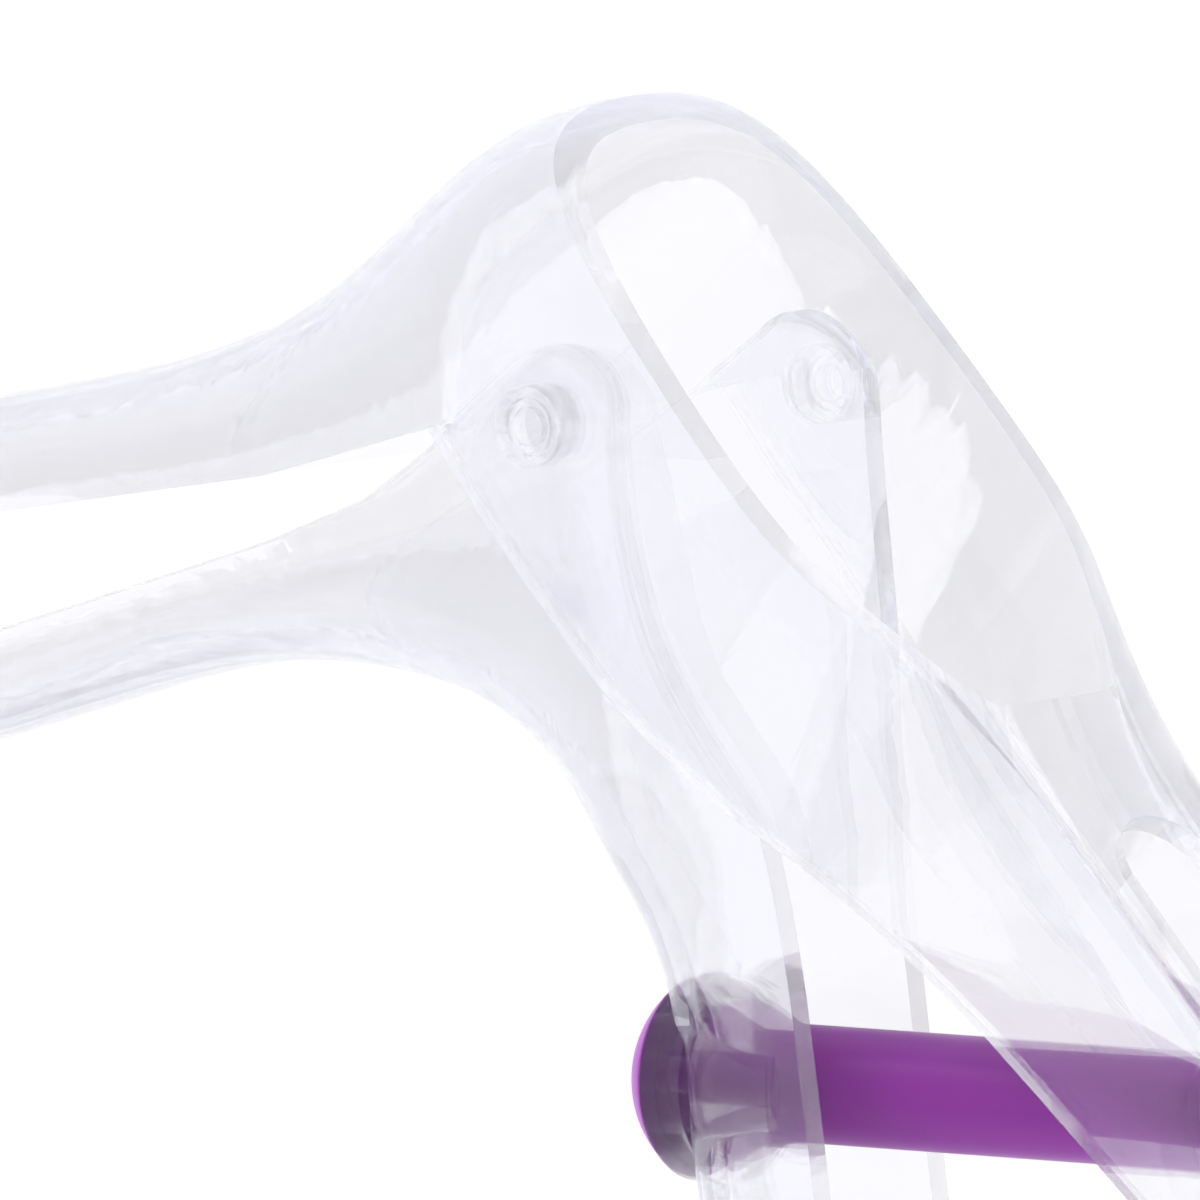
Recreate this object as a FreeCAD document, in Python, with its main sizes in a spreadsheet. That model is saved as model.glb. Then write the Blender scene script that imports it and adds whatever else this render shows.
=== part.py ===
import FreeCAD, Part
import Sketcher
import math
import os

# A clear moulded bivalve speculum, lying on its side. Lengths are in millimetres.
# The valves turn about the vertical axis through x = 0, y = 0, and the lower hinge pin's flat
# end lies on z = 0. The blades point to -X, the handles to -Y and the mouth opens to +X.
# The lower valve is drawn where it lies, and the upper valve as it is with the blades shut,
# and is then turned open. Points of the body are drawn for a hood 22 mm high and grow with it.

os.makedirs("parts", exist_ok=True)
doc = FreeCAD.newDocument("speculum")
sheet = doc.addObject("Spreadsheet::Sheet", "sizes")

SIZES = {
    # Shared by both valves
    "wall": 1.9,
    "edge_gap": 0.5,
    "blade_reach": 104.0,
    "blade_half_width": 12.6,
    "upper_blade_depth": 8.4,
    "lower_blade_depth": 6.4,
    "tip_round": 13.0,
    "rest_opening": 8.0,
    # Mouth and side walls of the upper valve
    "mouth_half_width": 18.2,
    "mouth_slant": 34.0,
    "rim_offset": 11.6,
    "frame_depth": 19.6,
    "hood_height": 22.0,
    "rim_bow": 118.0,
    "rim_trim": 1.2,
    "side_gap": 0.9,
    # Hinge pins, which stand on the lower valve's ears
    "pin_radius": 2.9,
    "pin_clearance": 0.06,
    "pin_groove_inner": 1.4,
    "pin_groove_outer": 2.1,
    "pin_groove_depth": 0.7,
    "pin_stand": 0.4,
    "ear_radius": 5.5,
    # Handles
    "rear_handle_reach": 114.0,
    "rear_handle_half_width": 9.0,
    "rear_end_depth": 10.5,
    "front_handle_reach": 98.0,
    "front_handle_half_width": 7.6,
    "front_handle_depth": 13.0,
    "front_handle_lean": 8.9,
    # Locking bar, measured along its axis from the point nearest the hinge
    "bar_radius": 4.25,
    "bar_drop": 48.4,
    "bar_tilt": 15.9,
    "bar_reach": 103.5,
    "bar_clearance": 0.06,
    "bar_end_chamfer": 1.0,
    "seat_face": 0.1,
    "seat_depth": 3.6,
    "seat_radius": 7.5,
    "seat_play": 0.1,
    "head_radius": 7.4,
    "head_height": 4.2,
    "barb_radius": 5.9,
    "barb_room": 0.4,
    "barb_length": 4.4,
    # Slot in the rear handle
    "slot_half_width": 5.0,
    "slot_top": 47.4,
    "slot_bottom": 103.0,
    # Wing nut
    "nut_place": 68.2,
    "nut_nose_radius": 6.6,
    "nut_sleeve_radius": 6.1,
    "nut_sleeve": 8.6,
    "nut_hub_radius": 7.0,
    "nut_hub": 10.8,
    "wing_reach": 12.4,
    "wing_length": 8.4,
    "wing_thickness": 3.0,
}
for row, (alias, value) in enumerate(SIZES.items(), start=1):
    sheet.set(f"A{row}", alias)
    sheet.set(f"B{row}", str(value))
    sheet.setAlias(f"B{row}", alias)
doc.recompute()


def size(alias):
    return float(getattr(sheet, alias))


def vector(x, y, z=0.0):
    return FreeCAD.Vector(x, y, z)


UP = vector(0, 0, 1)
FAR = 200.0
SECTION_POINTS = 24
OPEN_SIDE = 5.0
RING_SPREAD = 3 / (2 + math.cos(2 * math.pi / SECTION_POINTS))
centre_height = size("mouth_half_width") + size("pin_stand")


def bind(thing, bindings):
    """Tie properties of a document object to the sheet."""
    for name, expression in bindings.items():
        thing.setExpression(name, expression)
    return thing


def ring(origin, towards, depth, half_width, power, back):
    """Control points of a superellipse, that deep along towards and shallower on the open side."""
    points = []
    for step in range(SECTION_POINTS):
        angle = 2 * math.pi * step / SECTION_POINTS
        c, s = math.cos(angle), math.sin(angle)
        out = math.copysign(abs(c) ** (2 / power), c) * (depth if c > 0 else back) * RING_SPREAD
        side = math.copysign(abs(s) ** (2 / power), s) * half_width * RING_SPREAD
        points.append(origin + towards * out + UP * (centre_height + side))
    return points


def swept(name, rings):
    """A solid whose side is one smooth surface drawn by a row of rings, with flat ends."""
    around, along = SECTION_POINTS, len(rings)
    surface = Part.BSplineSurface()
    surface.buildFromPolesMultsKnots(
        [[points[step] for points in rings] for step in range(around)],
        [1] * (around + 1), [4] + [1] * (along - 4) + [4],
        list(range(around + 1)), list(range(along - 2)), True, False, 3, 3)
    side = surface.toShape()
    ends = [Part.Face(Part.Wire([surface.vIso(at).toShape()])) for at in (0, along - 3)]
    solid = Part.Shape(Part.Shell([side] + ends))
    solid.sewShape()
    solid = Part.Solid(Part.Shell(solid.Faces))
    if solid.Volume < 0:
        solid.reverse()
    body = doc.addObject("Part::Feature", name)
    body.Shape = solid
    return body


def boolean(kind, name, base, tool):
    result = doc.addObject("Part::" + kind, name)
    result.Base = base
    result.Tool = tool
    result.Refine = False
    return result


def fuse(name, shapes):
    result = doc.addObject("Part::MultiFuse", name)
    result.Shapes = shapes
    result.Refine = False
    return result


def plate(name, outline, low=-60.0, high=60.0):
    """An outline in the plane of the blades' travel, as a slab between two heights."""
    sketch = doc.addObject("Sketcher::SketchObject", name + "_outline")
    for edge in outline:
        sketch.addGeometry(edge, False)
    sketch.Placement = FreeCAD.Placement(vector(0, 0, centre_height + low), FreeCAD.Rotation())
    slab = doc.addObject("Part::Extrusion", name)
    slab.Base = sketch
    slab.Dir = UP
    slab.LengthFwd = high - low
    slab.Solid = True
    return slab


def chain(points):
    """Straight edges through points, closed."""
    ends = points[1:] + points[:1]
    return [Part.LineSegment(a, b) for a, b in zip(points, ends)]


def facing(degrees):
    """A unit vector in the plane of the blades' travel, turned from +X."""
    return vector(math.cos(math.radians(degrees)), math.sin(math.radians(degrees)))


# Directions of the upper valve, blades shut. The mouth and the rear handle share one plane.
slant = size("mouth_slant")
mouth_out = facing(slant)
mouth_down = facing(slant - 90.0)
wall = size("wall")
rim = size("rim_offset")
front = rim - size("frame_depth")
reach = size("blade_reach")
grow = size("hood_height") / 22.0
blade_root = -9.5 * grow


def frame_point(out, down):
    """A point of the upper valve, from its distance out of the mouth and down the handle."""
    return mouth_out * out + mouth_down * down


def body_point(x, y):
    return vector(x, y) * grow


def blade_edge(x):
    """Height of the line on which the two shut blades meet, rising towards the hinge."""
    bend = -30.0 * grow
    low = -1.8 * grow + 0.014 * (min(x, bend) + 60.0 * grow)
    return low + 0.11 * max(0.0, x - bend)


def rings(stations, inset):
    """Rings for a moulding's skin, or for its hollow when inset is the wall."""
    return [ring(base, facing(angle), depth - inset, half - inset, power, OPEN_SIDE + 2 * inset)
            for base, angle, depth, half, power in stations]


def blade_plan(name, inset):
    """The blade seen from above: parallel sides and a rounded tip."""
    half = size("mouth_half_width") + 5.0 - inset
    long = size("tip_round")
    wide = size("blade_half_width") + 0.1 - inset
    middle = vector(-reach + long + inset, 0)
    tip = Part.ArcOfEllipse(Part.Ellipse(middle, long, wide), math.pi / 2, 3 * math.pi / 2)
    flank = middle.x + 10.0
    outline = [tip,
               Part.LineSegment(vector(middle.x, -wide), vector(flank, -half)),
               Part.LineSegment(vector(flank, -half), vector(FAR, -half)),
               Part.LineSegment(vector(FAR, -half), vector(FAR, half)),
               Part.LineSegment(vector(FAR, half), vector(flank, half)),
               Part.LineSegment(vector(flank, half), vector(middle.x, wide))]
    sketch = doc.addObject("Sketcher::SketchObject", name + "_outline")
    for edge in outline:
        sketch.addGeometry(edge, False)
    upright = FreeCAD.Rotation(vector(1, 0, 0), 90)
    sketch.Placement = FreeCAD.Placement(vector(0, FAR, centre_height), upright)
    slab = doc.addObject("Part::Extrusion", name)
    slab.Base = sketch
    slab.Dir = vector(0, -1, 0)
    slab.LengthFwd = 2 * FAR
    slab.Solid = True
    return slab


def shell(name, stations, side_outline):
    """One thin moulding: a swept skin trimmed to its side view, less its hollow."""
    skin = swept(name + "_skin", rings(stations(0.0), 0.0))
    trimmed = boolean("Common", name + "_trimmed", skin, plate(name + "_side", side_outline))
    tipped = boolean("Common", name + "_tipped", trimmed, blade_plan(name + "_plan", 0.0))
    hollow = swept(name + "_hollow", rings(stations(wall), wall))
    kept_tip = boolean("Common", name + "_hollow_tipped", hollow, blade_plan(name + "_hollow_plan", wall))
    return boolean("Cut", name + "_shell", tipped, kept_tip)


def cylinder(name, radius, length, base, axis):
    """A cylinder whose radius and length are expressions of the sheet's cells."""
    solid = doc.addObject("Part::Cylinder", name)
    bind(solid, {"Radius": radius, "Height": length})
    solid.Placement = FreeCAD.Placement(base, FreeCAD.Rotation(UP, axis))
    return solid


# Upper valve: blade, hood, side walls, mouth and rear handle in one moulding

def upper_stations(inset):
    """Base point, direction of the closed side, depth, half width and squareness, tip to handle."""
    width, deep = size("blade_half_width"), size("upper_blade_depth")
    mouth, handle = size("mouth_half_width"), size("rear_handle_half_width")
    end, end_depth = size("rear_handle_reach"), size("rear_end_depth")
    proud = 0.0 if inset else size("rim_trim")

    def edge_point(x):
        return vector(x, blade_edge(x))

    def web(base, down, half, power):
        """A station of the rear handle, whose skin stands proud of the web to be cut back to it."""
        return frame_point(base, down), slant, rim - base + proud, half, power

    return [
        (edge_point(-reach - 2.0), 90.0, 0.55 * deep, width - 0.6, 2.0),
        (edge_point(-0.86 * reach), 90.0, 0.88 * deep, width - 0.2, 2.0),
        (edge_point(-0.6 * reach), 90.0, deep, width, 2.0),
        (edge_point(-48.0 * grow), 90.0, deep + 0.2 * grow, width + 0.1, 2.0),
        (edge_point(-35.0 * grow), 90.0, 10.3 * grow, width + 0.8, 2.0),
        (edge_point(-24.5 * grow), 90.0, 13.4 * grow, width + 2.2, 2.2),
        (edge_point(-15.5 * grow), 88.0, 17.9 * grow, mouth - 1.2, 2.4),
        (edge_point(blade_root), 78.0, 23.0 * grow, mouth, 2.7),
        (frame_point(front, 1.0 * grow), 62.0, 30.0 * grow, mouth, 3.0),
        (frame_point(front, 11.0 * grow), 46.0, 32.0 * grow, mouth, 3.6),
        (frame_point(front, 20.0 * grow), slant, 31.0 * grow, mouth, 4.0),
        (frame_point(front, 27.5 * grow), slant, 27.0 * grow, 0.6 * mouth + 0.45 * handle, 4.2),
        (frame_point(front, 34.5 * grow), slant, 21.7 * grow, 0.15 * mouth + handle, 7.0),
        web(front + 1.6 * grow, 42.0 * grow, handle + 0.6, 8.0),
        web(front + 3.8 * grow, 54.0 * grow, handle + 0.1, 8.0),
        web(front + 6.0 * grow, 68.0 * grow, handle, 8.0),
        web(rim - end_depth - 1.5, 0.5 * (end + 68.0 * grow), handle, 7.5),
        web(rim - end_depth, end - 6.0, handle - 0.4, 6.5),
        (frame_point(rim - end_depth, end - inset), slant, end_depth - 1.4 + proud, handle - 1.4, 4.0),
    ]


handle_end = size("rear_handle_reach")
upper_outline = chain([
    vector(-reach - 6.0, blade_edge(-reach - 6.0)),
    vector(-30.0 * grow, blade_edge(-30.0 * grow)),
    vector(blade_root, blade_edge(blade_root)),
    frame_point(front, 2.0 * grow),
    frame_point(front, 30.0 * grow),
    frame_point(front + 4.0 * grow, 54.0 * grow),
    frame_point(rim - size("rear_end_depth"), 0.5 * (handle_end + 80.0 * grow)),
    frame_point(rim - size("rear_end_depth"), handle_end + 3.0),
    frame_point(rim + 30.0, handle_end + 3.0),
    frame_point(rim + 30.0, -60.0),
    vector(-reach - 6.0, 60.0),
])
upper_shell = shell("upper", upper_stations, upper_outline)

rim_side = cylinder("rim_side", "sizes.rim_bow", str(2 * FAR),
                    frame_point(rim - size("rim_bow"), -FAR) + UP * centre_height, mouth_down)
upper_rimmed = boolean("Common", "upper_rimmed", upper_shell, rim_side)
pin_hole = cylinder("pin_hole", "sizes.pin_radius + sizes.pin_clearance", "4 * sizes.mouth_half_width",
                    vector(0, 0, -5.0), UP)
slot_top, slot_bottom = size("slot_top"), size("slot_bottom")
slot_half = size("slot_half_width")
slot_ends = [cylinder("slot_" + name, "sizes.slot_half_width", "sizes.wall + 4",
                      frame_point(rim - 4.0, down) + UP * centre_height, mouth_out)
             for name, down in (("top", slot_top + slot_half), ("bottom", slot_bottom - slot_half))]
slot_run = doc.addObject("Part::Box", "slot_run")
bind(slot_run, {"Length": "sizes.slot_bottom - sizes.slot_top - 2 * sizes.slot_half_width",
                "Width": "2 * sizes.slot_half_width", "Height": "sizes.wall + 4"})
slot_turn = FreeCAD.Rotation(mouth_down, UP * -1, mouth_out, "XZY")
slot_run.Placement = FreeCAD.Placement(
    frame_point(rim - 4.0, slot_top + slot_half) + UP * (centre_height + slot_half), slot_turn)
upper_cuts = fuse("upper_cuts", [pin_hole, slot_run] + slot_ends)
upper_valve = boolean("Cut", "upper_valve", upper_rimmed, upper_cuts)
upper_valve.Placement = FreeCAD.Placement(vector(0, 0), FreeCAD.Rotation(UP, -size("rest_opening")))
bind(upper_valve, {"Placement.Rotation.Angle": "-sizes.rest_opening"})


# Lower valve: blade, body, ears with hinge pins and front handle in one moulding

lean = 270.0 - size("front_handle_lean")
handle_down = facing(lean)
handle_face = lean - 76.0
handle_top = body_point(2.3, -44.0)
handle_run = size("front_handle_reach") + handle_top.y
ear_half = size("mouth_half_width") - wall - size("side_gap")


def lower_stations(inset):
    """As for the upper valve, from the blade's tip round the body and down the front handle."""
    width, deep = size("blade_half_width"), size("lower_blade_depth")
    half, handle_deep = size("front_handle_half_width"), size("front_handle_depth")

    def edge_point(x):
        return vector(x, blade_edge(x) - size("edge_gap"))

    return [
        (edge_point(-reach - 2.0), 270.0, 0.6 * deep, width - 0.6, 2.0),
        (edge_point(-0.86 * reach), 270.0, 0.95 * deep, width - 0.2, 2.0),
        (edge_point(-0.6 * reach), 270.0, deep, width, 2.0),
        (edge_point(-48.0 * grow), 270.0, deep, width + 0.1, 2.0),
        (edge_point(-38.0 * grow), 270.0, 7.7 * grow, width + 0.3, 2.0),
        (edge_point(-28.0 * grow), 267.0, 11.0 * grow, width + 0.8, 2.1),
        (body_point(-14.0, 2.0), 256.0, 20.4 * grow, ear_half - 1.2, 2.3),
        (body_point(1.5, 6.0), 243.7, 34.6 * grow, ear_half, 2.6),
        (body_point(6.5, -6.0), 230.7, 29.7 * grow, ear_half, 2.8),
        (body_point(6.0, -18.0), 221.4, 22.7 * grow, ear_half - 1.8, 3.0),
        (body_point(5.5, -30.0), 207.3, 18.6 * grow, half + 0.4, 3.4),
        (handle_top, handle_face + 5.0, handle_deep + 1.0, half, 4.2),
        (handle_top + handle_down * (0.28 * handle_run), handle_face, handle_deep, half, 4.8),
        (handle_top + handle_down * (0.6 * handle_run), handle_face, handle_deep - 0.6, half, 5.0),
        (handle_top + handle_down * (handle_run - inset), handle_face, handle_deep - 1.4, half - 0.6, 5.0),
    ]


ear = size("ear_radius")
ear_foot = body_point(-13.0, 0.9)
ear_rise = body_point(-20.0, -1.1)
touch = math.atan2(ear_foot.y, ear_foot.x) - math.acos(ear / ear_foot.Length)
ear_front = vector(ear * math.cos(touch), ear * math.sin(touch))
ear_top = vector(ear * math.cos(touch / 2), ear * math.sin(touch / 2))
ear_back = vector(ear, 0)
ear_hollow = body_point(2.9, -17.0)
ear_base = body_point(4.0, -31.0)
handle_foot = handle_top + handle_down * (handle_run + 3.0)
lower_corners = [
    ear_base,
    handle_top,
    handle_foot,
    handle_foot + vector(-60.0, 0),
    vector(-reach - 6.0, -60.0),
    vector(-reach - 6.0, blade_edge(-reach - 6.0) - size("edge_gap")),
    vector(-30.0 * grow, blade_edge(-30.0 * grow) - size("edge_gap")),
    ear_rise,
    ear_foot,
    ear_front,
]
lower_outline = [Part.Arc(ear_front, ear_top, ear_back), Part.Arc(ear_back, ear_hollow, ear_base)]
lower_outline += [Part.LineSegment(a, b) for a, b in zip(lower_corners, lower_corners[1:])]
lower_shell = shell("lower", lower_stations, lower_outline)

bar_way = facing(-size("bar_tilt"))
bar_foot = facing(-90.0 - size("bar_tilt")) * size("bar_drop") + UP * centre_height


def bar_point(distance):
    """A point on the locking bar's axis."""
    return bar_foot + bar_way * distance


# Each hinge pin runs from inside its ear to just beyond the hood's side, with a ring in its end
pins = []
pin_length = "sizes.pin_stand + 2 * sizes.wall + sizes.side_gap - 0.3"
for name, base, axis in (("far_pin", vector(0, 0, 0), UP),
                         ("near_pin", vector(0, 0, 2 * centre_height), UP * -1)):
    pin = cylinder(name, "sizes.pin_radius", pin_length, base, axis)
    groove_rim = cylinder(name + "_rim", "sizes.pin_groove_outer", "sizes.pin_groove_depth", base, axis)
    core = cylinder(name + "_core", "sizes.pin_groove_inner", "sizes.pin_groove_depth", base, axis)
    groove = boolean("Cut", name + "_groove", groove_rim, core)
    pins.append(boolean("Cut", name + "_ended", pin, groove))
seat = cylinder("bar_seat", "sizes.seat_radius", "sizes.seat_depth", bar_point(size("seat_face")), bar_way)
head_space = cylinder("head_space", "sizes.head_radius + 0.1", "8",
                      bar_point(size("seat_face") - 8.0), bar_way)
faced_shell = boolean("Cut", "faced_shell", lower_shell, head_space)
lower_joined = fuse("lower_joined", [faced_shell, seat] + pins)
bar_hole = cylinder("bar_hole", "sizes.bar_radius + sizes.bar_clearance", "sizes.seat_depth + 6",
                    bar_point(size("seat_face") - 3.0), bar_way)
barb_space = cylinder("barb_space", "sizes.barb_radius + sizes.barb_room", "sizes.barb_length + 3",
                      bar_point(size("seat_face") + size("seat_depth")), bar_way)
lower_cuts = fuse("lower_cuts", [bar_hole, barb_space])
lower_valve = boolean("Cut", "lower_valve", lower_joined, lower_cuts)


# Locking bar and wing nut, each turned about the sheet's bar axis

def body_on_bar(name, distance):
    """A body whose X axis lies along the locking bar."""
    body = doc.addObject("PartDesign::Body", name)
    body.Placement = FreeCAD.Placement(bar_point(distance), FreeCAD.Rotation(vector(1, 0, 0), bar_way))
    return body


def origin_part(body, role):
    """A plane or an axis of a body's own origin."""
    return next(feature for feature in body.Origin.OriginFeatures if feature.Role == role)


def half_profile(body, name, points, arcs):
    """A closed sketch for turning; arcs give the middle point of each curved edge by its place."""
    sketch = body.newObject("Sketcher::SketchObject", name)
    sketch.AttachmentSupport = [(origin_part(body, "XY_Plane"), "")]
    sketch.MapMode = "FlatFace"
    for place, (a, b) in enumerate(zip(points, points[1:] + points[:1])):
        if place in arcs:
            sketch.addGeometry(Part.Arc(a, arcs[place], b), False)
        else:
            sketch.addGeometry(Part.LineSegment(a, b), False)
    return sketch


def turned(body, name, sketch):
    """A profile turned once round the bar's axis."""
    revolution = body.newObject("PartDesign::Revolution", name)
    revolution.Profile = sketch
    revolution.ReferenceAxis = (origin_part(body, "X_Axis"), [""])
    revolution.Angle = 360.0
    return revolution


bar_radius = size("bar_radius")
seat_face, seat_back = size("seat_face"), size("seat_face") + size("seat_depth")
play = size("seat_play") / 2
head_base, head_top = seat_face - play, seat_face - play - size("head_height")
head = size("head_radius")
head_ball = (head ** 2 + size("head_height") ** 2) / (2 * size("head_height"))
head_turn = 0.5 * math.asin(head / head_ball)
head_middle = vector(head_top + head_ball * (1 - math.cos(head_turn)), head_ball * math.sin(head_turn))
barb_face = seat_back + play
chamfer = size("bar_end_chamfer")
bar_profile = [
    vector(head_top, 0),
    vector(head_base, head),
    vector(head_base, bar_radius),
    vector(barb_face, bar_radius),
    vector(barb_face, size("barb_radius")),
    vector(barb_face + 1.0, size("barb_radius")),
    vector(barb_face + size("barb_length"), bar_radius),
    vector(size("bar_reach") - chamfer, bar_radius),
    vector(size("bar_reach"), bar_radius - chamfer),
    vector(size("bar_reach"), 0),
]
lock_bar = body_on_bar("lock_bar", 0.0)
turned(lock_bar, "bar_turned", half_profile(lock_bar, "bar_profile", bar_profile, {0: head_middle}))

nose = size("nut_nose_radius")
bore = bar_radius + size("bar_clearance")
sleeve, hub = size("nut_sleeve_radius"), size("nut_hub_radius")
nose_front = -math.sqrt(nose ** 2 - bore ** 2)
nose_back = math.sqrt(nose ** 2 - sleeve ** 2)
sleeve_end = size("nut_sleeve")
hub_end = sleeve_end + size("nut_hub")
nut_profile = [
    vector(nose_front, bore),
    vector(nose_back, sleeve),
    vector(sleeve_end, sleeve),
    vector(sleeve_end + 1.0, hub),
    vector(hub_end - 1.2, hub),
    vector(hub_end, hub - 1.2),
    vector(hub_end, bore),
]
wing_nut = body_on_bar("wing_nut", size("nut_place"))
turned(wing_nut, "nut_turned", half_profile(wing_nut, "nut_profile", nut_profile, {0: vector(0, nose)}))

for label, node in (("upper_valve", upper_valve), ("lower_valve", lower_valve),
                    ("lock_bar", lock_bar), ("wing_nut", wing_nut)):
    node.Label = label
doc.recompute()

# The wings: one pad across the hub with rounded tips, and the bore cleared through it
wing_reach, wing_half = size("wing_reach"), size("wing_length") / 2
wing_middle = sleeve_end + 1.4 + wing_half
wing_sketch = wing_nut.newObject("Sketcher::SketchObject", "wing_outline")
wing_sketch.AttachmentSupport = [(origin_part(wing_nut, "XZ_Plane"), "")]
wing_sketch.MapMode = "FlatFace"
shoulder = wing_reach - wing_half
corners = [vector(wing_middle - wing_half, -shoulder), vector(wing_middle - wing_half, shoulder),
           vector(wing_middle + wing_half, shoulder), vector(wing_middle + wing_half, -shoulder)]
wing_sketch.addGeometry(Part.LineSegment(corners[0], corners[1]), False)
wing_sketch.addGeometry(Part.Arc(corners[1], vector(wing_middle, wing_reach), corners[2]), False)
wing_sketch.addGeometry(Part.LineSegment(corners[2], corners[3]), False)
wing_sketch.addGeometry(Part.Arc(corners[3], vector(wing_middle, -wing_reach), corners[0]), False)
wings = wing_nut.newObject("PartDesign::Pad", "wings")
wings.Profile = wing_sketch
wings.Midplane = True
bind(wings, {"Length": "sizes.wing_thickness"})
doc.recompute()
bore_sketch = wing_nut.newObject("Sketcher::SketchObject", "bore_outline")
bore_sketch.AttachmentSupport = [(origin_part(wing_nut, "YZ_Plane"), "")]
bore_sketch.MapMode = "FlatFace"
bore_sketch.addGeometry(Part.Circle(vector(0, 0), UP, bore), False)
bore_sketch.addConstraint(Sketcher.Constraint("Radius", 0, bore))
bore_sketch.renameConstraint(0, "bore")
bind(bore_sketch, {"Constraints.bore": "sizes.bar_radius + sizes.bar_clearance"})
bore_cut = wing_nut.newObject("PartDesign::Pocket", "bore_cut")
bore_cut.Profile = bore_sketch
bore_cut.Type = "ThroughAll"
bore_cut.Midplane = True
doc.recompute()

failed = [thing.Name for thing in doc.Objects if "Invalid" in thing.State or "Error" in thing.State]
if failed:
    raise RuntimeError("these did not build: " + ", ".join(failed))
for node in (upper_valve, lower_valve, lock_bar, wing_nut):
    shape = node.Shape
    if shape.isNull() or not shape.isValid() or len(shape.Solids) != 1:
        raise RuntimeError(node.Label + " is not one valid solid")
    shape.exportStep("parts/" + node.Label + ".step")
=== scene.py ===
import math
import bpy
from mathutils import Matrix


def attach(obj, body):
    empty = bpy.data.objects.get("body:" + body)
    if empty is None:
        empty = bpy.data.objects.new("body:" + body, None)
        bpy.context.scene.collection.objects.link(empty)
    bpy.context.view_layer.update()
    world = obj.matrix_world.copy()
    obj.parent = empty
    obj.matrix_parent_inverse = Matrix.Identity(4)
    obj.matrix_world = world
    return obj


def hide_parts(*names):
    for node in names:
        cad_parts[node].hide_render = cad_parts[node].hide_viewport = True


bl_info = {
    "name": "Bivalve Speculum",
    "version": (1, 0, 0),
    "blender": (4, 5, 0),
    "location": "3D View > Sidebar > Speculum",
    "description": "Dresses the clear speculum with its purple locking bar and nut",
    "category": "Object",
}

import bmesh
import bpy
from bpy.props import FloatProperty, FloatVectorProperty, PointerProperty
from bpy.types import Operator, Panel, PropertyGroup
from mathutils import Matrix, Vector

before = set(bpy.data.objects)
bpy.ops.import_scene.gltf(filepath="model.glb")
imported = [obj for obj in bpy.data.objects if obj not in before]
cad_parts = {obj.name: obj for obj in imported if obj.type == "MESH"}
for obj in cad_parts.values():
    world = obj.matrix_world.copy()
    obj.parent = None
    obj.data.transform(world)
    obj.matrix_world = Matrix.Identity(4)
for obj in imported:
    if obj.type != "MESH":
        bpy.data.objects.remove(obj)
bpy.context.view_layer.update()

MM = 0.001

# The valves turn about the Z axis through the origin. The instrument's middle plane is this high.
MIDDLE = 18.6 * MM

# The locking bar's axis: the point nearest the hinge, and the turn that lays X along the bar.
BAR_TILT = math.radians(-15.9)
BAR_DROP = 48.4 * MM
BAR_FOOT = Vector((math.sin(BAR_TILT), -math.cos(BAR_TILT), 0)) * BAR_DROP + Vector((0, 0, MIDDLE))
BAR_PLACE = Matrix.Translation(BAR_FOOT) @ Matrix.Rotation(BAR_TILT, 4, "Z")

# Steps round every turned shape, shared so that shank, thread and end face meet point to point.
AROUND = 64

# Points this close are merged, edges this short are dropped, and faces that meet at more than
# this angle keep a sharp edge.
MERGE = 0.002 * MM
SHORTEST_EDGE = 0.0005 * MM
SHARP = math.radians(32)

# Shares of the thread's pitch: its crest, the flank down and the root. The flank up has the rest.
CREST, FLANK, ROOT = 0.22, 0.26, 0.26
ROWS_A_TURN = 4


# Colours and materials

def linear(hex_colour):
    """Linear colour and alpha from an sRGB hex string."""
    def channel(value):
        value /= 255
        return value / 12.92 if value <= 0.04045 else ((value + 0.055) / 1.055) ** 2.4
    return tuple(channel(int(hex_colour[i:i + 2], 16)) for i in (1, 3, 5)) + (1.0,)


def add(tree, kind, inputs=None, **settings):
    """A new node with its settings. Each input gets a value, or a link from another node's output."""
    node = tree.nodes.new(kind)
    for name, value in settings.items():
        setattr(node, name, value)
    for name, value in (inputs or {}).items():
        if isinstance(value, bpy.types.NodeSocket):
            tree.links.new(value, node.inputs[name])
        else:
            node.inputs[name].default_value = value
    return node


def new_material(name):
    """A material with an empty tree."""
    material = bpy.data.materials.new(name)
    material.use_nodes = True
    material.node_tree.nodes.clear()
    return material, material.node_tree


def clear_polystyrene(settings):
    """Crystal polystyrene, injection moulded in a polished tool.

    It bends light strongly and takes a little red and green from what passes through it, so
    flat walls look clear, and rims and corners, where light runs along the wall, look lavender.
    """
    material, tree = new_material("clear polystyrene")
    shader = add(tree, "ShaderNodeBsdfPrincipled", {
        "Base Color": tuple(settings.tint) + (1.0,),
        "Roughness": settings.roughness,
        "IOR": settings.refraction,
        "Transmission Weight": 1.0,
        "Alpha": settings.presence,
    })
    depth = add(tree, "ShaderNodeVolumeAbsorption", {
        "Color": tuple(settings.depth_tint) + (1.0,),
        "Density": settings.depth_density,
    })
    add(tree, "ShaderNodeOutputMaterial", {
        "Surface": shader.outputs["BSDF"], "Volume": depth.outputs["Volume"]})
    return material


def purple_nylon(settings):
    """Purple nylon, injection moulded: one colour all through, with a soft gloss.

    Light spreads a few millimetres inside it, so thin edges glow.
    """
    material, tree = new_material("purple nylon")
    shader = add(tree, "ShaderNodeBsdfPrincipled", {
        "Base Color": tuple(settings.colour) + (1.0,),
        "Roughness": settings.roughness,
        "IOR": 1.53,
        "Specular IOR Level": 0.4,
        "Subsurface Weight": settings.glow,
        "Subsurface Radius": (1.0, 0.3, 1.1),
        "Subsurface Scale": settings.glow_depth,
    })
    add(tree, "ShaderNodeOutputMaterial", {"Surface": shader.outputs["BSDF"]})
    return material


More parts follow.
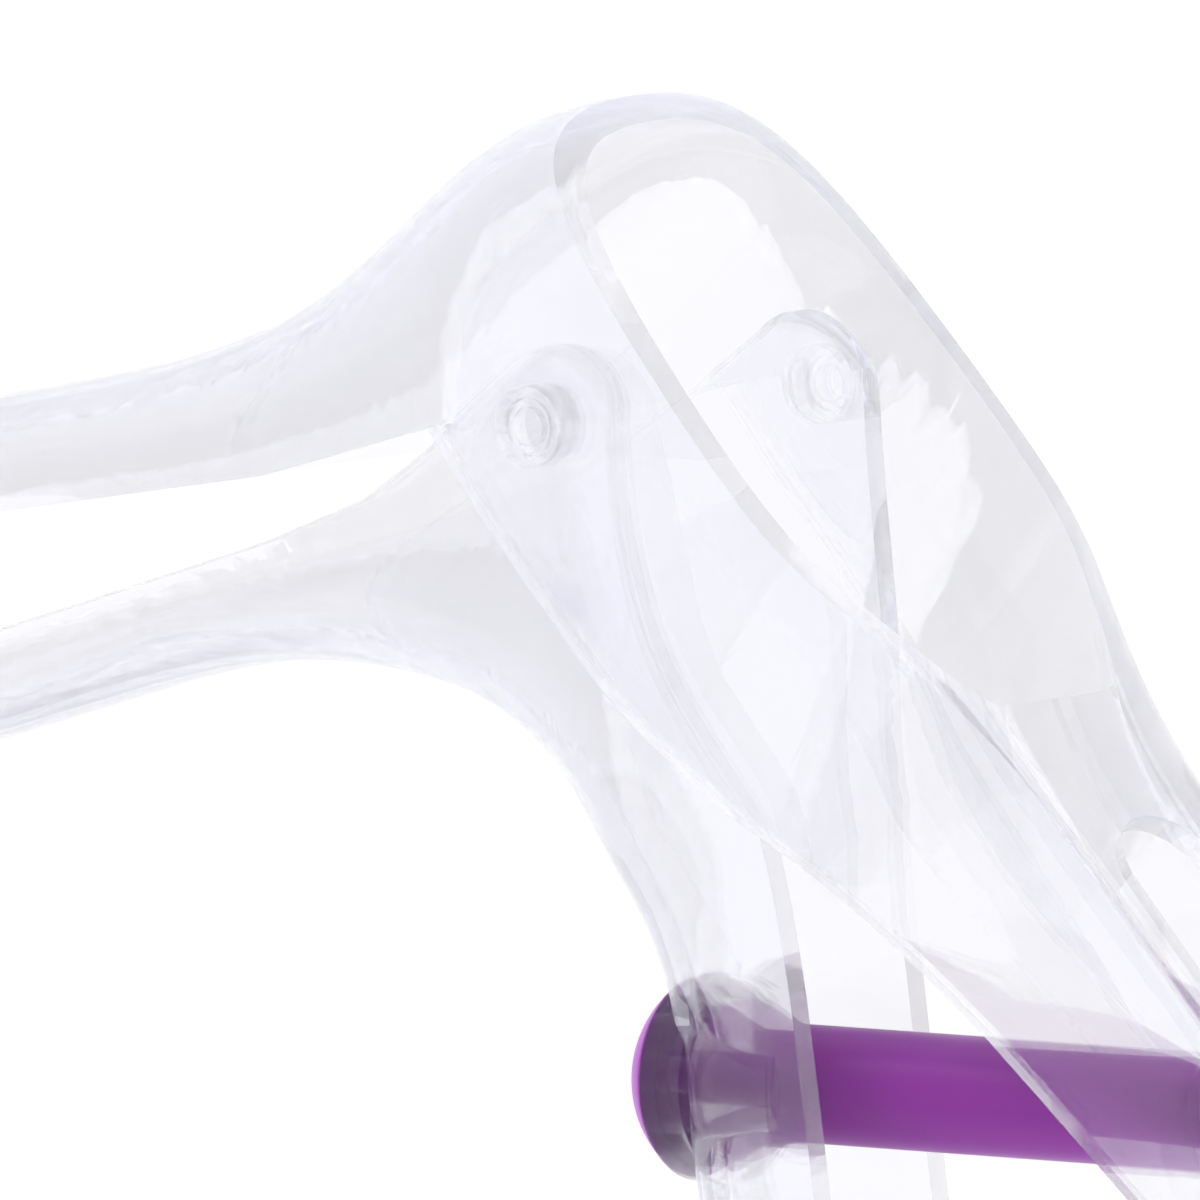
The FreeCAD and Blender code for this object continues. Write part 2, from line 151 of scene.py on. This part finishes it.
def dress(node, material):
    """Give a CAD node its material."""
    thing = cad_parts[node]
    thing.data.materials.clear()
    thing.data.materials.append(material)


# Shapes

def arc(middle, radius, start, end, steps):
    """Points of an arc in a turned piece's half profile, from one angle to another in degrees."""
    angles = [math.radians(start + (end - start) * step / steps) for step in range(steps + 1)]
    return [(middle[0] + radius * math.cos(a), middle[1] + radius * math.sin(a)) for a in angles]


def rounded(corner, before, after, radius, steps=4):
    """A corner of a half profile as a short curve, drawn from its two neighbours."""
    corner, before, after = Vector(corner), Vector(before), Vector(after)
    a = corner + (before - corner).normalized() * radius
    b = corner + (after - corner).normalized() * radius
    shares = [step / steps for step in range(steps + 1)]
    return [tuple(a * (1 - t) ** 2 + corner * 2 * t * (1 - t) + b * t ** 2) for t in shares]


def turn(mesh, profile):
    """Turn a half profile, (along X, radius), once round the X axis into a bmesh."""
    angles = [2 * math.pi * step / AROUND for step in range(AROUND)]
    rows = []
    for along, radius in profile:
        # A point on the axis is one vertex
        row = [mesh.verts.new((along, radius * math.cos(angle), radius * math.sin(angle)))
               for angle in (angles if radius > SHORTEST_EDGE else angles[:1])]
        rows.append(row if len(row) > 1 else row * AROUND)
    for low, high in zip(rows, rows[1:]):
        for step in range(AROUND):
            after = (step + 1) % AROUND
            ring = (low[step], low[after], high[after], high[step])
            corners = list(dict.fromkeys(ring))
            if len(corners) > 2:
                mesh.faces.new(corners)


def finish_piece(mesh, name, place, material, body, node):
    """Close a bmesh into a piece at its place, riding on its body in place of a CAD node."""
    bmesh.ops.remove_doubles(mesh, verts=mesh.verts, dist=MERGE)
    bmesh.ops.dissolve_degenerate(mesh, edges=mesh.edges, dist=SHORTEST_EDGE)
    mesh.transform(place)
    bmesh.ops.recalc_face_normals(mesh, faces=mesh.faces)
    data = bpy.data.meshes.new(name)
    mesh.to_mesh(data)
    mesh.free()
    data.shade_smooth()
    data.set_sharp_from_angle(angle=SHARP)
    data.materials.append(material)
    piece = bpy.data.objects.new(name, data)
    bpy.context.scene.collection.objects.link(piece)
    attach(piece, body)
    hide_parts(node)


def thread_tree():
    """Geometry Nodes for a right-hand thread on X.

    A sheet is wound round the axis with four rows of points to a turn: where the crest starts,
    where it ends, and the two edges of the root. Each row climbs one pitch in going round, so
    that it runs on into the row of the next turn.
    """
    tree = bpy.data.node_groups.new("thread", "GeometryNodeTree")
    tree.is_modifier = True
    tree.interface.new_socket("Geometry", in_out="OUTPUT", socket_type="NodeSocketGeometry")
    for name in ("Radius", "Pitch", "Depth", "Start", "End", "Chamfer"):
        tree.interface.new_socket(name, in_out="INPUT", socket_type="NodeSocketFloat")
    for name in ("Around", "Rows"):
        tree.interface.new_socket(name, in_out="INPUT", socket_type="NodeSocketInt")
    tree.interface.new_socket("Material", in_out="INPUT", socket_type="NodeSocketMaterial")
    given = {socket.name: socket for socket in add(tree, "NodeGroupInput").outputs}
    sheet = add(tree, "GeometryNodeMeshGrid", {
        "Size X": 1.0, "Size Y": 1.0, "Vertices Y": given["Rows"]})
    spot = add(tree, "ShaderNodeSeparateXYZ", {0: add(tree, "GeometryNodeInputPosition").outputs[0]})
    given["sheet x"] = spot.outputs["X"]
    given["sheet y"] = spot.outputs["Y"]
    sums = (
        # The sheet closes on itself, so it has one column of points more than steps round
        ("columns", "ADD", "Around", 1),
        # Which turn a point belongs to, and which of the turn's four rows. The sheet is 1 wide and
        # high about its middle, so its shares are half of that more than its coordinates
        ("last row", "SUBTRACT", "Rows", 1),
        ("round share", "ADD", "sheet x", 0.5),
        ("up share", "ADD", "sheet y", 0.5),
        ("up rows", "MULTIPLY", "up share", "last row"),
        ("row", "ROUND", "up rows", 0),
        ("row middle", "ADD", "row", 0.5),
        ("turn share", "DIVIDE", "row middle", ROWS_A_TURN),
        ("turn", "FLOOR", "turn share", 0),
        ("first row", "MULTIPLY", "turn", ROWS_A_TURN),
        ("place", "SUBTRACT", "row", "first row"),
        # How far through the pitch that row lies
        ("past crest", "GREATER_THAN", "place", 0.5),
        ("in root", "GREATER_THAN", "place", 1.5),
        ("past root", "GREATER_THAN", "place", 2.5),
        ("crest", "MULTIPLY", "past crest", CREST),
        ("flank", "MULTIPLY", "in root", FLANK),
        ("root", "MULTIPLY", "past root", ROOT),
        ("crest and flank", "ADD", "crest", "flank"),
        ("phase", "ADD", "crest and flank", "root"),
        # The point's place along the bar, from one turn early and kept between the thread's ends
        ("wound", "ADD", "phase", "round share"),
        ("climb", "ADD", "wound", "turn"),
        ("from start", "SUBTRACT", "climb", 1),
        ("travel", "MULTIPLY", "from start", "Pitch"),
        ("free", "ADD", "travel", "Start"),
        ("after start", "MAXIMUM", "free", "Start"),
        ("along", "MINIMUM", "after start", "End"),
        # Its radius: the root is cut in over one pitch, and the chamfer cuts the end
        ("past start", "SUBTRACT", "along", "Start"),
        ("pitches in", "DIVIDE", "past start", "Pitch"),
        ("run in", "MINIMUM", "pitches in", 1),
        ("root depth", "MULTIPLY", "in root", "Depth"),
        ("cut", "MULTIPLY", "root depth", "run in"),
        ("threaded", "SUBTRACT", "Radius", "cut"),
        ("chamfer start", "SUBTRACT", "End", "Chamfer"),
        ("past chamfer", "SUBTRACT", "along", "chamfer start"),
        ("bevel", "MAXIMUM", "past chamfer", 0),
        ("chamfered", "SUBTRACT", "Radius", "bevel"),
        ("radius", "MINIMUM", "threaded", "chamfered"),
        # Wound round the axis
        ("angle", "MULTIPLY", "round share", 2 * math.pi),
        ("cosine", "COSINE", "angle", 0),
        ("sine", "SINE", "angle", 0),
        ("across", "MULTIPLY", "radius", "cosine"),
        ("height", "MULTIPLY", "radius", "sine"),
    )
    for name, operation, *values in sums:
        inputs = {place: given.get(value, value) for place, value in enumerate(values)}
        given[name] = add(tree, "ShaderNodeMath", inputs, operation=operation).outputs[0]
    tree.links.new(given["columns"], sheet.inputs["Vertices X"])
    point = add(tree, "ShaderNodeCombineXYZ", {
        "X": given["along"], "Y": given["across"], "Z": given["height"]})
    wound = add(tree, "GeometryNodeSetPosition", {
        "Geometry": sheet.outputs["Mesh"], "Position": point.outputs["Vector"]})
    real = add(tree, "GeometryNodeRealizeInstances", {"Geometry": wound.outputs["Geometry"]})
    coloured = add(tree, "GeometryNodeSetMaterial", {
        "Geometry": real.outputs["Geometry"], "Material": given["Material"]})
    add(tree, "NodeGroupOutput", {"Geometry": coloured.outputs["Geometry"]})
    return tree


def grown(tree, values):
    """The plain mesh that a Geometry Nodes tree gives for these inputs."""
    base = bpy.data.objects.new("grown", bpy.data.meshes.new("grown"))
    bpy.context.scene.collection.objects.link(base)
    modifier = base.modifiers.new("nodes", "NODES")
    modifier.node_group = tree
    for socket in tree.interface.items_tree:
        if socket.in_out == "INPUT":
            modifier[socket.identifier] = values[socket.name]
    evaluated = base.evaluated_get(bpy.context.evaluated_depsgraph_get())
    data = bpy.data.meshes.new_from_object(evaluated)
    bpy.data.objects.remove(base)
    return data


# Settings a user would change

class ClearSettings(PropertyGroup):
    tint: FloatVectorProperty(
        name="Surface tint", description="Colour the plastic gives to light at each face",
        subtype="COLOR", size=3, min=0, max=1, default=linear("#fbfbff")[:3])
    depth_tint: FloatVectorProperty(
        name="Depth tint", description="Colour of light that has passed through thick plastic",
        subtype="COLOR", size=3, min=0, max=1, default=linear("#a9a9ee")[:3])
    depth_density: FloatProperty(
        name="Depth density", description="How fast the depth tint builds up",
        min=0, max=500, default=14.0)
    roughness: FloatProperty(
        name="Roughness", description="Softness of reflections in the polished plastic",
        subtype="FACTOR", min=0, max=1, default=0.03)
    refraction: FloatProperty(
        name="Refractive index", description="Polystyrene bends light by this index",
        min=1, max=2, default=1.5)
    presence: FloatProperty(
        name="Presence",
        description="Share of the surface that bends light, while the rest lets it straight through",
        subtype="FACTOR", min=0, max=1, default=0.52)


class PurpleSettings(PropertyGroup):
    colour: FloatVectorProperty(
        name="Colour", description="Colour of the bar and the nut",
        subtype="COLOR", size=3, min=0, max=1, default=linear("#60186c")[:3])
    roughness: FloatProperty(
        name="Roughness", description="Softness of reflections in the purple plastic",
        subtype="FACTOR", min=0, max=1, default=0.3)
    glow: FloatProperty(
        name="Glow", description="Share of the light that spreads inside the plastic",
        subtype="FACTOR", min=0, max=1, default=0.35)
    glow_depth: FloatProperty(
        name="Glow depth", description="How far light spreads inside the plastic",
        subtype="DISTANCE", unit="LENGTH", min=0, max=10 * MM, default=3.0 * MM)


class BarSettings(PropertyGroup):
    radius: FloatProperty(
        name="Radius", description="Radius of the bar and of its thread's crest",
        subtype="DISTANCE", unit="LENGTH", min=1 * MM, max=10 * MM, default=4.25 * MM)
    reach: FloatProperty(
        name="Reach", description="From the point nearest the hinge to the bar's end",
        subtype="DISTANCE", unit="LENGTH", min=60 * MM, max=200 * MM, default=103.5 * MM)
    thread_start: FloatProperty(
        name="Thread start", description="Where the smooth shank gives way to the thread",
        subtype="DISTANCE", unit="LENGTH", min=10 * MM, max=90 * MM, default=46.0 * MM)
    pitch: FloatProperty(
        name="Pitch", description="Travel of the nut in one turn",
        subtype="DISTANCE", unit="LENGTH", min=0.5 * MM, max=6 * MM, default=2.5 * MM)
    depth: FloatProperty(
        name="Thread depth", description="How deep the thread is cut",
        subtype="DISTANCE", unit="LENGTH", min=0.1 * MM, max=1 * MM, default=0.55 * MM)
    chamfer: FloatProperty(
        name="End chamfer", description="Bevel that leads the nut on",
        subtype="DISTANCE", unit="LENGTH", min=0.6 * MM, max=2 * MM, default=1.0 * MM)


class StageSettings(PropertyGroup):
    paper: FloatVectorProperty(
        name="Paper", description="Colour of the floor",
        subtype="COLOR", size=3, min=0, max=1, default=linear("#fefefe")[:3])
    evenness: FloatProperty(
        name="Evenness", description="Share of plain white in the floor's look, the rest being lit paper",
        subtype="FACTOR", min=0, max=1, default=0.98)
    fill: FloatProperty(
        name="Fill", description="Even light from all round",
        min=0, max=2, default=0.26)
    mirrored: FloatProperty(
        name="Mirrored", description="Brightness of the tent where plastic mirrors it",
        min=0, max=2, default=1.0)
    open_side: FloatProperty(
        name="Open side", description="Brightness of the tent's open side, where the camera stands",
        min=0, max=2, default=0.9)
    panel_power: FloatProperty(
        name="Panel power", description="Power that each soft panel has a multiple of",
        subtype="POWER", unit="POWER", min=0, max=50, default=7.0)
    panel_size: FloatProperty(
        name="Panel size", description="Side of each soft panel",
        subtype="DISTANCE", unit="LENGTH", min=0.05, max=3, default=1.1)
    view_width: FloatProperty(
        name="View width", description="Width of the scene that the picture shows",
        subtype="DISTANCE", unit="LENGTH", min=0.01, max=1, default=85.7 * MM)


# Operators, one for each group of pieces

class SPECULUM_OT_valves(Operator):
    """Give both clear valves their plastic"""
    bl_idname = "speculum.valves"
    bl_label = "Clear valves"

    def execute(self, context):
        clear = clear_polystyrene(context.scene.speculum_clear)
        for node in ("lower_valve", "upper_valve"):
            dress(node, clear)
        return {"FINISHED"}


# The bar's head and barb, along the bar from the front handle's face: the dome, the flange that
# snaps through the handle's boss, and the taper from it down to the shank.
HEAD_RADIUS, HEAD_TOP, HEAD_BASE = 7.4 * MM, -4.15 * MM, 0.05 * MM
BARB_RADIUS, BARB_FACE, BARB_LIP, BARB_END = 5.9 * MM, 3.75 * MM, 4.75 * MM, 8.15 * MM
BRIM_ROUND, FACE_ROUND, LIP_ROUND = 0.4 * MM, 0.25 * MM, 0.3 * MM
DOME_STEPS = 16


class SPECULUM_OT_bar(Operator):
    """Turn the locking bar, with its dome head, snap barb and threaded end"""
    bl_idname = "speculum.bar"
    bl_label = "Locking bar"

    def execute(self, context):
        bar = context.scene.speculum_bar
        purple = purple_nylon(context.scene.speculum_purple)
        # A spare turn at each end is pressed flat onto the thread's end
        turns = math.ceil((bar.reach - bar.thread_start) / bar.pitch) + 2
        thread = grown(thread_tree(), {
            "Radius": bar.radius, "Pitch": bar.pitch, "Depth": bar.depth, "Start": bar.thread_start,
            "End": bar.reach, "Chamfer": bar.chamfer, "Around": AROUND,
            "Rows": ROWS_A_TURN * turns, "Material": purple})
        mesh = bmesh.new()
        mesh.from_mesh(thread)
        bpy.data.meshes.remove(thread)
        turn(mesh, self.head_and_shank(bar))
        turn(mesh, [(bar.reach, bar.radius - bar.chamfer), (bar.reach, 0)])
        finish_piece(mesh, "locking_bar", BAR_PLACE, purple, "bar", "lock_bar")
        return {"FINISHED"}

    def head_and_shank(self, bar):
        """Half profile from the dome's top to the start of the thread."""
        ball = (HEAD_RADIUS ** 2 + (HEAD_BASE - HEAD_TOP) ** 2) / (2 * (HEAD_BASE - HEAD_TOP))
        reach = math.degrees(math.asin(HEAD_RADIUS / ball))
        dome = arc((HEAD_TOP + ball, 0), ball, 180, 180 - reach, DOME_STEPS)
        brim = rounded((HEAD_BASE, HEAD_RADIUS), dome[-2], (HEAD_BASE, bar.radius), BRIM_ROUND)
        neck = [(HEAD_BASE, bar.radius), (BARB_FACE, bar.radius)]
        face, lip = (BARB_FACE, BARB_RADIUS), (BARB_LIP, BARB_RADIUS)
        flange = rounded(face, neck[1], lip, FACE_ROUND)
        flange += rounded(lip, face, (BARB_END, bar.radius), LIP_ROUND)
        shank = [(BARB_END, bar.radius), (bar.thread_start, bar.radius)]
        return dome[:-1] + brim + neck + flange + shank


class SPECULUM_OT_nut(Operator):
    """Give the wing nut its purple plastic"""
    bl_idname = "speculum.nut"
    bl_label = "Wing nut"

    def execute(self, context):
        dress("wing_nut", bpy.data.materials["purple nylon"])
        return {"FINISHED"}


# The photograph's view: picture right, picture up and the way to the camera, in the part's frame.
VIEW_RIGHT = Vector((0.7467, -0.2344, -0.6226))
VIEW_UP = Vector((0.2250, 0.9701, -0.0950))
VIEW_BACK = VIEW_RIGHT.cross(VIEW_UP)
VIEW_CENTRE = Vector((0, 0, MIDDLE)) + VIEW_RIGHT * (-6.357 * MM) + VIEW_UP * (-14.179 * MM)
VIEW_DISTANCE = 3.0
SENSOR_WIDTH = 36.0

# The floor is just below the part, so that the two don't share a plane.
FLOOR_SIZE = 4.0
FLOOR_HEIGHT = -0.2 * MM

# Where each soft panel stands, and how many times the panel power it has.
PANELS = (
    ("panel above", Vector((0.05, 0.80, 0.20)), 5.0),
    ("panel below", Vector((0.10, -0.80, 0.20)), 2.4),
    ("panel left", Vector((-0.80, 0.10, 0.20)), 5.0),
)

# The tent dims between these two cosines of the angle to the camera.
DIM_FROM, DIM_TO = 0.1, 0.9


def aim(thing, place, target):
    """Stand a lamp at a place and turn it to a target."""
    thing.location = place
    thing.rotation_euler = (place - target).to_track_quat("Z", "Y").to_euler()


class SPECULUM_OT_stage(Operator):
    """Lay the floor and set the lights and the camera"""
    bl_idname = "speculum.stage"
    bl_label = "Stage"

    def execute(self, context):
        settings = context.scene.speculum_stage
        scene = context.scene
        scene.view_settings.view_transform = "Standard"
        self.floor(settings)
        self.light(settings)
        self.camera(scene, settings)
        return {"FINISHED"}

    def seen(self, tree):
        """1 for rays that look at the backdrop, straight, mirrored or through clear plastic, else 0."""
        path = add(tree, "ShaderNodeLightPath")
        looks = add(tree, "ShaderNodeMath", {
            0: path.outputs["Is Camera Ray"], 1: path.outputs["Is Glossy Ray"]}, operation="MAXIMUM")
        either = add(tree, "ShaderNodeMath", {
            0: looks.outputs["Value"], 1: path.outputs["Is Transmission Ray"]}, operation="MAXIMUM")
        return either.outputs["Value"]

    def floor(self, settings):
        """White paper that looks evenly white and still keeps the object's shadow."""
        bpy.ops.mesh.primitive_plane_add(size=FLOOR_SIZE, location=(0, 0, FLOOR_HEIGHT))
        floor = bpy.context.object
        floor.name = "floor"
        material, tree = new_material("white paper")
        paper = add(tree, "ShaderNodeBsdfPrincipled", {
            "Base Color": tuple(settings.paper) + (1.0,), "Roughness": 0.9, "Specular IOR Level": 0.1})
        white = add(tree, "ShaderNodeEmission", {"Color": (1, 1, 1, 1), "Strength": 1.0})
        share = add(tree, "ShaderNodeMath", {
            0: self.seen(tree), 1: settings.evenness}, operation="MULTIPLY")
        look = add(tree, "ShaderNodeMixShader", {
            0: share.outputs["Value"], 1: paper.outputs["BSDF"], 2: white.outputs["Emission"]})
        add(tree, "ShaderNodeOutputMaterial", {"Surface": look.outputs["Shader"]})
        floor.data.materials.append(material)

    def light(self, settings):
        """A light tent: white all round but dimmer at the camera, with soft panels on three sides."""
        world = bpy.data.worlds.new("light tent")
        bpy.context.scene.world = world
        world.use_nodes = True
        tree = world.node_tree
        tree.nodes.clear()
        path = add(tree, "ShaderNodeLightPath")
        fill = add(tree, "ShaderNodeBackground", {"Color": (1, 1, 1, 1), "Strength": settings.fill})
        # What the plastic mirrors gets dimmer from beside the part to the camera's side
        outward = add(tree, "ShaderNodeTexCoord")
        toward = add(tree, "ShaderNodeVectorMath", {
            0: outward.outputs["Generated"], 1: VIEW_BACK}, operation="DOT_PRODUCT")
        tent = add(tree, "ShaderNodeMapRange", {
            "Value": toward.outputs["Value"], "From Min": DIM_FROM, "From Max": DIM_TO,
            "To Min": settings.mirrored, "To Max": settings.open_side})
        mirrored = add(tree, "ShaderNodeBackground", {
            "Color": (1, 1, 1, 1), "Strength": tent.outputs["Result"]})
        white = add(tree, "ShaderNodeBackground", {"Color": (1, 1, 1, 1), "Strength": 1.0})
        plain = add(tree, "ShaderNodeMixShader", {
            0: self.seen(tree), 1: fill.outputs["Background"], 2: white.outputs["Background"]})
        look = add(tree, "ShaderNodeMixShader", {
            0: path.outputs["Is Glossy Ray"], 1: plain.outputs["Shader"],
            2: mirrored.outputs["Background"]})
        add(tree, "ShaderNodeOutputWorld", {"Surface": look.outputs["Shader"]})
        for name, place, times in PANELS:
            lamp = bpy.data.lights.new(name, "AREA")
            lamp.energy = settings.panel_power * times
            lamp.size = settings.panel_size
            holder = bpy.data.objects.new(name, lamp)
            # The plastic mirrors and shows the even tent alone
            holder.visible_glossy = False
            holder.visible_transmission = False
            bpy.context.scene.collection.objects.link(holder)
            aim(holder, place, Vector((0, 0, MIDDLE)))

    def camera(self, scene, settings):
        """A long lens at the photograph's viewing angle and framing."""
        lens = bpy.data.cameras.new("camera")
        lens.sensor_fit = "HORIZONTAL"
        lens.sensor_width = SENSOR_WIDTH
        lens.lens = SENSOR_WIDTH * VIEW_DISTANCE / settings.view_width
        lens.clip_start = 0.01
        lens.clip_end = 10.0
        holder = bpy.data.objects.new("camera", lens)
        scene.collection.objects.link(holder)
        turn = Matrix((VIEW_RIGHT, VIEW_UP, VIEW_BACK)).transposed().to_4x4()
        holder.matrix_world = Matrix.Translation(VIEW_CENTRE + VIEW_BACK * VIEW_DISTANCE) @ turn
        scene.camera = holder


class SPECULUM_PT_panel(Panel):
    """The speculum's pieces"""
    bl_idname = "SPECULUM_PT_panel"
    bl_label = "Speculum"
    bl_space_type = "VIEW_3D"
    bl_region_type = "UI"
    bl_category = "Speculum"

    def draw(self, context):
        for group, _ in GROUPS:
            box = self.layout.box()
            settings = getattr(context.scene, group)
            for name in settings.__annotations__:
                box.prop(settings, name)
        for operator in OPERATORS:
            self.layout.operator(operator.bl_idname)


OPERATORS = (SPECULUM_OT_valves, SPECULUM_OT_bar, SPECULUM_OT_nut, SPECULUM_OT_stage)
GROUPS = (("speculum_clear", ClearSettings), ("speculum_purple", PurpleSettings),
          ("speculum_bar", BarSettings), ("speculum_stage", StageSettings))


def register():
    for name, group in GROUPS:
        bpy.utils.register_class(group)
        setattr(bpy.types.Scene, name, PointerProperty(type=group))
    for kind in OPERATORS + (SPECULUM_PT_panel,):
        bpy.utils.register_class(kind)


def unregister():
    for kind in (SPECULUM_PT_panel,) + OPERATORS:
        bpy.utils.unregister_class(kind)
    for name, group in GROUPS:
        delattr(bpy.types.Scene, name)
        bpy.utils.unregister_class(group)


def main():
    register()
    bpy.ops.speculum.valves()
    bpy.ops.speculum.bar()
    bpy.ops.speculum.nut()
    bpy.ops.speculum.stage()


if __name__ == "__main__":
    main()
